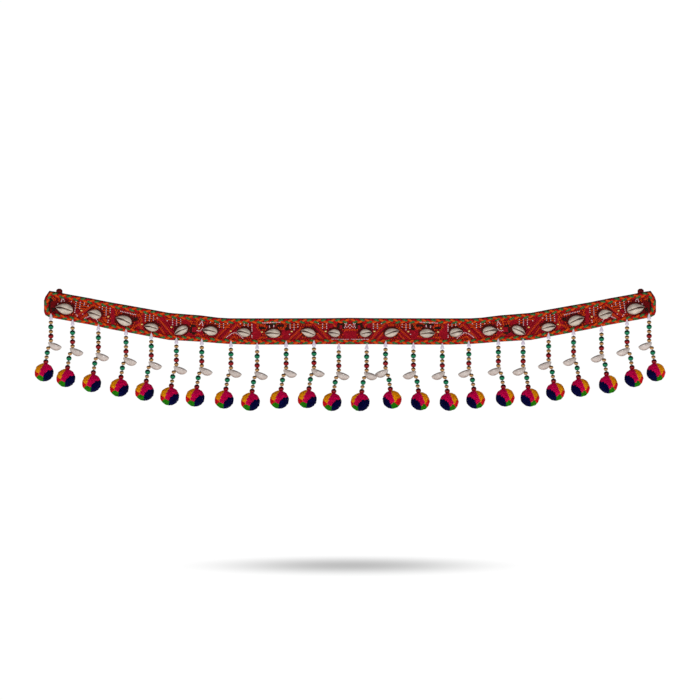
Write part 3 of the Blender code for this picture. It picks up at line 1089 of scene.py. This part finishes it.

# %% [markdown]
# ## The worked ground
# Rows of stitches follow a few small repeats, each a chart of letters, one for a stitch. A table says
# which repeat fills which field of the left half. The first that fits counts, and the right half mirrors
# it. A ring of dark stitches, set up and inwards round each cowrie, is a painted shadow.

# %% Chart the repeats and the fields
CHARTS = {
    "dots": ("dcdc", "odod", "cdcd", "dodo"),
    "ladder": ("d", "o"),
    "rising": ("dcc", "ccd", "cdc"),
    "falling": ("dcc", "cdc", "ccd"),
    "plain": ("c",),
    "dark": ("d",),
    "black": ("k",),
    # the painted shadow round each cowrie
    "ring": ("kd", "dk"),
}
Field = namedtuple("Field", "chart start end top bottom")
FIELD_RUNS = (
    ("black", (-472, -465.5, 31, 25.5), (-473.5, -469.5, 28, 11), (-468.5, -463.5, 16.5, 9.5)),
    ("dark", (-476, -444, 31, -6)),
    ("ladder", (-430.5, -412.5, 28, 13.5)),
    ("rising", (-431, -395, 16, -8)),
    ("ladder", (-389.5, -376.5, 20, 8)),
    ("plain", (-376, -370.5, 24, -18), (-353, -341, 16, 9)),
    ("black", (-341.5, -333, 1, -4.5)),
    ("plain", (-336, -323, -6.5, -30), (-325.8, -322.3, 16, -30)),
    ("ladder", (-322, -306.5, 8, -4.5)),
    ("plain", (-301, -290.5, 4, -5)),
    ("falling", (-306, -272, -3.5, -30)),
    ("ladder", (-290.5, -263.5, 3, -11.5)),
    ("plain", (-264, -251, 0, -9.5)),
    ("black", (-250, -242.5, -10.5, -15.5), (-252, -247.5, -14.5, -24.5), (-247, -240.5, -22.5, -27)),
    ("plain", (-250, -240.5, -14, -24), (-258, -231, -21, -34)),
    ("ladder", (-213.5, -190, -4.5, -17)),
    ("rising", (-212, -185, -12, -36), (-191.5, -178, -3.5, -26)),
    ("falling", (-178, -170, -4, -20)),
    ("ladder", (-173, -153, -5, -15)),
    ("plain", (-152.8, -146.8, -2, -40)),
    ("black", (-143, -132.5, -14.5, -18), (-132, -111.5, -8.8, -12.2), (-129, -120.5, -11, -17),
     (-115, -103.5, -11, -15), (-101.5, -96.5, -11, -20)),
    ("plain", (-147, -140, -19, -34), (-110, -95.5, -17.5, -35), (-133, -110, -31, -35),
     (-99.5, -95.5, -4, -35)),
    ("ladder", (-95.5, -81, -5, -17.5)),
    ("rising", (-97, -74.5, -17, -36)),
    ("ladder", (-50.5, -35.5, -6, -16)),
    ("falling", (-60, -31, -5, -36)),
    ("black", (-19, -9, -8, -11), (-20, -15.5, -10.5, -22), (-12, -8.5, -10, -18)),
    ("plain", (-35, -11, -6.5, -18), (-11, 0, -22, -35)),
)
FIELDS = [Field(chart, *limits) for chart, *spaces in FIELD_RUNS for limits in spaces]
# the ring of dark stitches is a painted shadow, set up and inwards where a lamp below each end throws it
SHADOW_RING_MIDDLE = (1.3, 1.6)  # how far the ring is set inwards and up from the middle of a cowrie
SHADOW_RING_WIDTH = 1.9


# whether a spot lies in the painted shadow round a cowrie
def in_painted_shadow(place, height):
    def share(middle, row):
        across = (place - middle.x - SHADOW_RING_MIDDLE[0]) / (row.length / 2 + SHADOW_RING_WIDTH)
        up = (height - middle.z - SHADOW_RING_MIDDLE[1]) / (row.width / 2 + SHADOW_RING_WIDTH)
        return across ** 2 + up ** 2

    return any(share(middle, row) < 1 for middle, row in left_shells)


def chart_at(place, height):
    if in_painted_shadow(place, height):
        return CHARTS["ring"]
    for field in FIELDS:
        if field.start <= place <= field.end and field.bottom <= height <= field.top:
            return CHARTS[field.chart]
    return CHARTS["dots"]


print("repeats:", len(CHARTS), "fields:", len(FIELDS))

# %% Fill the ground
GROUND_PITCH = 1.9
GROUND_END = 478
GROUND_STITCH = (1.85, 1.65)
UNDER_PLAIT = 0.8  # how far the stitches run under the edging


def ground_shape():
    whole = bmesh.new()
    columns = round(GROUND_END / GROUND_PITCH)
    for column in range(-columns, columns + 1):
        place = column * GROUND_PITCH
        top, bottom = outline(place)
        top -= PLAIT_TOP_INSET + PLAIT_WIDTH - UNDER_PLAIT
        bottom += PLAIT_INSET + PLAIT_WIDTH - UNDER_PLAIT
        rows = max(1, round((top - bottom) / GROUND_PITCH))
        for row in range(rows):
            height = between(top, bottom, (row + 0.5) / rows)
            chart = chart_at(-abs(place), height)
            line = chart[row % len(chart)]
            thread = LETTERS.index(line[(columns - abs(column)) % len(line)])
            way = Vector((1, chance.uniform(-0.12, 0.12)))
            put_stitch(whole, STITCH, Vector((place, height)), way, thread, GROUND_STITCH)
    return whole


ground = on_band("ground_stitches", ground_shape())
print("ground stitches:", len(ground.data.polygons) // len(STITCH.polygons))

# %% [markdown]
# ## Figures in orange
# Zigzags, slanting rows and small peaks stand on the ground. Each is a line through a few corners, with
# stitches on its two sides by turns.

# %% Draw the orange figures
def trails(*rows):
    """Lines of corners. A row has the place and the height of each corner in turn."""
    return [list(zip(row[::2], row[1::2])) for row in rows]


ORANGE_TRAILS = trails(
    (-466, 27, -464.5, 31.5, -462, 27.5), (-456, 31, -457, 25.5), (-431, 1.5, -401, 21),
    (-425, -2, -397.5, 15.5), (-421.5, -3, -411, 3.5), (-404, 21.5, -392.5, 14),
    (-392.5, -3.5, -389.5, -9.5, -385.5, -2.5, -381.5, -8), (-388, 1, -377, -11), (-367, 12, -366.5, 3),
    (-343, -17, -331, -10, -326.5, -17.5), (-337, 6, -328.5, 3, -327, -6, -331, -12),
    (-304, 2, -290.5, -13, -277, -29.5), (-304.5, -14.5, -298, -15, -289, -29), (-257.5, -1, -252, -5),
    (-249.5, -4, -249, -10), (-240, -4, -240.5, -12),
    (-243.5, -27, -239, -25, -233.5, -29.5, -229, -33.5), (-211, -32.5, -196, -17, -186, -7.5),
    (-200.5, -33.5, -189, -22.5, -177, -10, -171.5, -16), (-188.5, -33.5, -182.5, -29, -176, -33.5),
    (-145, -7.5, -145.5, -12, -144.5, -16.5, -142, -20), (-140.5, -9, -138.5, -12, -131.5, -14),
    (-143, -31.5, -133, -31), (-117, -11, -110.5, -8),
    (-99.5, -8.5, -101, -14, -105.5, -18, -112, -17.5), (-111, -30, -105.5, -29), (-95, -34, -76, -16),
    (-85.5, -34, -72, -21), (-64.5, -9, -67, -12, -62.5, -12, -64.5, -9),
    (-58, -6.5, -46, -18.5, -38, -28, -32.5, -36), (-52.5, -23.5, -42.5, -35), (-27, -8, -22.5, -15),
    (-9.5, -20.5, -5.5, -18.5, 0, -19.5),
)
FIGURE_ABOVE = 0.28
FIGURE_PITCH = 1.45
FIGURE_SWING = 0.75  # every other stitch lies on the other side of the line
FIGURE_STITCH = (2.2, 1.5)


def figure_shape():
    whole = bmesh.new()
    for line in both_halves(ORANGE_TRAILS):
        for number, (spot, way) in enumerate(along_trail(line, FIGURE_PITCH)):
            across = Vector((-way.y, way.x)).normalized() * FIGURE_SWING
            spot += across if number % 2 else -across
            put_stitch(whole, THICK_STITCH, spot, way, LETTERS.index("o"), FIGURE_STITCH, FIGURE_ABOVE)
    return whole


figures = on_band("orange_figures", figure_shape())
print("figure stitches:", len(figures.data.polygons) // len(THICK_STITCH.polygons))

# %% [markdown]
# ## Seed beads and gold beads
# Combs of short strings of pale beads hang below the upper edging, with bead lines between them, and a
# gold bead beside most cowries. A comb is written as the place of its first string and the lengths of
# all, because their tops follow the edging.

# %% Sew on the small beads
COMBS = table(
    "place pitch lengths lean",
    (-429.5, 6.5, (20, 12.5, 6), -3), (-388.5, 6.2, (7, 15, 10), -1),
    (-320.5, 6.2, (13.5, 12, 10), -1.5), (-278.5, 6.3, (12, 12, 10), 0),
    (-211.5, 6.5, (4.5, 8.5, 9, 2), 0), (-172, 6, (2, 5, 6), 0), (-94, 6.1, (9.5, 12, 8), 0),
    (-49.5, 6.4, (2, 10, 10), 0),
)
COMB_BELOW_EDGE = 7.6
COMB_BEAD_PITCH = 3.3
KNOT = (1.2, 1.9)
TRAIL_BEAD_PITCH = 2.5
BEAD_TRAILS = trails(
    (-453.5, 24.5, -451.5, 30.5), (-450, 30.5, -448, 25), (-458, 23, -459.5, 20.5),
    (-427, 1.5, -430.5, 6), (-417.5, -1.5, -407, 3.5), (-399, -1.5, -394, -8.5),
    (-379, -2.5, -380.5, -8.5), (-361, 10.5, -335.5, 4.5), (-237, -11.5, -232, -5, -231, -13),
    (-241, -19.5, -236, -21, -230.5, -16), (-154, -9, -154, -22), (-154, -26.5, -154, -31.5),
    (-195, -31.5, -186.5, -25, -179.5, -23, -170.5, -29.5, -167.5, -33), (-138, -8.2, -109, -6.8),
    (-126.5, -12, -126.5, -16), (-119.7, -11, -119.7, -15), (-29.5, -33.8, -0.9, -34),
    (-9, -9.5, -5.5, -8.5, -7, -12.5, -9, -16.5), (-6, -15.5, -3, -13.5, 0, -10),
)
SINGLE_BEADS = (
    (-437.5, 25.5), (-411, 18.5), (-419.5, 6), (-393.5, 16.5), (-302.5, -0.5), (-287, -4.5), (-219, -7),
    (-95, -26), (0, -16),
)
GOLD_SPOTS = (
    (-421.5, 11.5), (-379.5, 2), (-326.5, -10), (-280.5, -14.5), (-237, -16), (-187, -20.5),
    (-138.3, -22), (-91.5, -21.3), (-38.3, -21),
)
BEAD_ABOVE = 0.6
BEAD_OVER_PLAIT = 2


def bead_lift(spot):
    """How far a bead is from the cloth: more where it is sewn over the edging."""
    below_top = outline(spot.x)[0] - spot.y
    return BEAD_OVER_PLAIT if below_top < PLAIT_TOP_INSET + PLAIT_WIDTH + SEED_RADIUS / 2 else BEAD_ABOVE


def comb_trails():
    for comb in COMBS:
        for number, length in enumerate(comb.lengths):
            place = comb.place + number * comb.pitch
            top = outline(place)[0] - COMB_BELOW_EDGE
            yield ((place, top), (place + comb.lean * length / 20, top - length))


def knot_shape():
    """The dark stitch before and after each bead of a comb."""
    whole = bmesh.new()
    for line in both_halves(comb_trails()):
        for spot, way in along_trail(line, COMB_BEAD_PITCH):
            for step in (-COMB_BEAD_PITCH / 2, COMB_BEAD_PITCH / 2):
                knot = spot + way.normalized() * step
                put_stitch(whole, STITCH, knot, way, LETTERS.index("d"), KNOT, FIGURE_ABOVE)
    return whole


def bead_spots():
    spots = [Vector(spot) for spot in SINGLE_BEADS]
    for trails, pitch in ((comb_trails(), COMB_BEAD_PITCH), (BEAD_TRAILS, TRAIL_BEAD_PITCH)):
        spots += [spot for trail in trails for spot, way in along_trail(trail, pitch)]
    return spots + [Vector((-spot.x, spot.y)) for spot in spots if spot.x < -0.5]


def sewn_shape(bead, spots):
    return copies(bead, [at(spot.x, cloth_front(spot.x, spot.y) - bead_lift(spot), spot.y) for spot in spots])


gold_spots = [Vector((side * place, height)) for place, height in GOLD_SPOTS for side in (RIGHT, LEFT)]
seed_beads = on_band("seed_beads", sewn_shape(SEED_BEAD, bead_spots()), [SEED])
knots = on_band("comb_knots", knot_shape())
sewn_golds = on_band("sewn_gold_beads", sewn_shape(SEWN_GOLD, gold_spots), [SEWN_GOLD_BEAD])
print("seed beads:", len(bead_spots()), "gold beads:", len(gold_spots))

# %% [markdown]
# ## The band
# The band is a sheet that hangs from its two loops, and what is sewn on it goes with it.

# %% [markdown]
# ## The studio
# The hanging is shown against white, over a pale floor with a soft round patch of painted shadow. A small
# softbox lights each half from below its own end, so the shells throw their shade up and inwards, and a
# large one fills from the front. The camera stands level and far off.

# %% Floor
FLOOR_HEIGHT = -0.388
SHADE_MIDDLE = -0.02  # nearer to the viewer than the band
SHADE_REACH = (0.32, 0.55)
SHADE_DEPTH = 0.5
SHADE_FALL = 2.6  # how softly it fades outwards


def floor_finish():
    finish = Finish("pale floor")
    # painted shadow: the floor glows evenly, dimmed in a soft oval under the hanging
    across = finish.axis("X") * (1 / SHADE_REACH[0])
    along = (finish.axis("Y") - SHADE_MIDDLE) * (1 / SHADE_REACH[1])
    inside = (1 - across * across - along * along).at_least(0)
    grain = finish.noise(30)
    light = 1.02 - inside.power(SHADE_FALL) * SHADE_DEPTH + grain * 0.01
    glow = finish.node("CombineColor", values={0: light, 1: light, 2: light})
    return finish.done((0, 0, 0), 1, specular_ior_level=0, emission_color=glow, emission_strength=1)


shape = bmesh.new()
bmesh.ops.create_grid(shape, x_segments=8, y_segments=8, size=6)
shape.transform(Matrix.Translation((0, 0, FLOOR_HEIGHT)))
as_object("floor", shape, [floor_finish()])
print("floor is", round(-FLOOR_HEIGHT, 3), "m below the band")

# %% Light
world = bpy.data.worlds.new("white room")
scene.world = world
world.use_nodes = True
room = world.node_tree
fill = room.nodes["Background"]
backdrop = room.nodes.new("ShaderNodeBackground")
for light, colour, strength in ((fill, (0.85, 0.9, 1, 1), 0.16), (backdrop, (1, 1, 1, 1), 1.02)):
    light.inputs["Color"].default_value = colour
    light.inputs["Strength"].default_value = strength
seen = room.nodes.new("ShaderNodeLightPath")
choice = room.nodes.new("ShaderNodeMixShader")
for number, output in enumerate((seen.outputs["Is Camera Ray"], fill.outputs[0], backdrop.outputs[0])):
    room.links.new(output, choice.inputs[number])
room.links.new(choice.outputs[0], room.nodes["World Output"].inputs["Surface"])


def softbox(name, place, aim, size, power, spread=180):
    light = bpy.data.lights.new(name, "AREA")
    light.shape = "RECTANGLE"
    light.size, light.size_y = size
    light.energy = power
    light.spread = radians(spread)
    lamp = bpy.data.objects.new(name, light)
    lamp.location = place
    lamp.rotation_euler = (Vector(aim) - Vector(place)).to_track_quat("-Z", "Y").to_euler()
    scene.collection.objects.link(lamp)
    return lamp


lamps = [
    softbox("front softbox", (0, -2.6, 0.7), (0, 0, -0.05), (1.6, 0.7), 18.6),
]
for name, side in (("left softbox", LEFT), ("right softbox", RIGHT)):
    lamps.append(softbox(name, (side * 0.8, -1.6, -0.62), (side * 0.29, 0, -0.05), (0.3, 0.3), 10.6, 50))
scene.view_settings.view_transform = "Standard"
print("lamps:", [lamp.name for lamp in lamps])

# %% Camera
LENS = 300
SENSOR = 36  # the width that a camera starts with
VIEW_WIDTH = 1.099  # metres of the hanging's plane that the picture takes in
VIEW_HEIGHT = -0.0506  # height of the middle of the picture
camera_data = bpy.data.cameras.new("camera")
camera_data.lens = LENS
camera_data.clip_end = 50
camera = bpy.data.objects.new("camera", camera_data)
camera.location = (0, -VIEW_WIDTH * LENS / SENSOR, VIEW_HEIGHT)
camera.rotation_euler = (pi / 2, 0, 0)
scene.collection.objects.link(camera)
bpy.context.scene.camera = camera
print("camera distance, m:", round(-camera.location.y, 3))

# %% Bring the scene up to date
bpy.context.view_layer.update()
